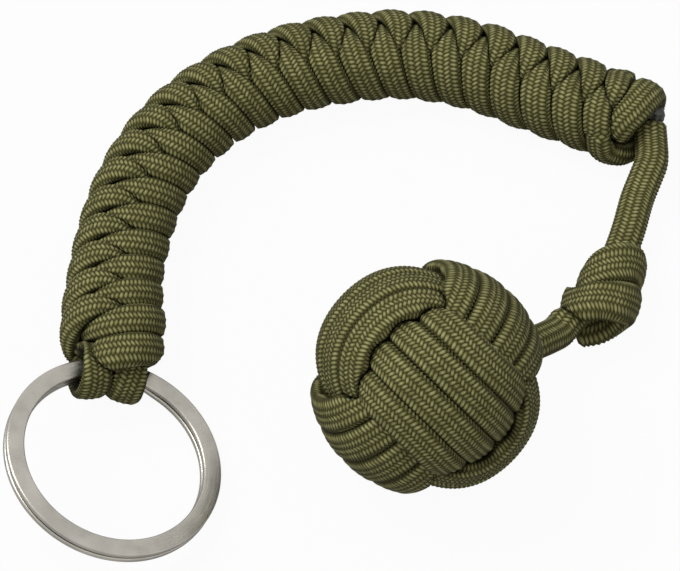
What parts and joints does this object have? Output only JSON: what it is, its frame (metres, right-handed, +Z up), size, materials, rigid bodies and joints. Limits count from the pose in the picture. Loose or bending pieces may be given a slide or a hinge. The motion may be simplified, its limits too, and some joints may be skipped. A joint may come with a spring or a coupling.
{
  "type": "monkey fist key lanyard",
  "caption": "Cord key lanyard: split ring, two-strand knotted handle, stopper knot and a monkey fist knot wound over a steel ball.",
  "frame": {"origin": "centre of the footprint, on the surface that the lanyard lies on", "axes": "+Z up, +Y away from the viewer toward the handle's arch, +X to the viewer's right toward the stopper knot"},
  "size_m": [0.0957, 0.0903, 0.0313],
  "materials": {
    "cord": "woven nylon cord, olive green, matt",
    "melted_nylon": "melted and set, dark",
    "ring_steel": "satin nickel plate",
    "core_steel": "plain bearing steel"
  },
  "bodies": {
    "handle": {"handle_strand_a": "cord", "handle_strand_b": "cord", "ring_hitch": "cord", "cut_end": "melted_nylon"},
    "ring": {"split_ring": "ring_steel"},
    "stem": {"stem_cord": "cord", "knot_wrap": "cord", "knot_core": "cord"},
    "fist": {"neck_cord": "cord", "fist_band_first": "cord", "fist_band_second": "cord", "fist_band_third": "cord", "core_ball": "core_steel"}
  },
  "joints": [
    {"name": "ring_swing", "type": "hinge", "parent": "handle", "child": "ring", "pos_m": [-0.03362, -0.0156, 0.00574], "axis": [-0.9316, -0.0551, 0.3594], "range_deg": [-40, 90]},
    {"name": "stem_swing", "type": "hinge", "parent": "handle", "child": "stem", "pos_m": [0.0456, 0.025, 0.0045], "axis": [0, 0, 1], "range_deg": [-6, 15]},
    {"name": "fist_swing", "type": "hinge", "parent": "stem", "child": "fist", "pos_m": [0.032, -0.0077, 0.0056], "axis": [0, 0, 1], "range_deg": [-15, 15]}
  ]
}
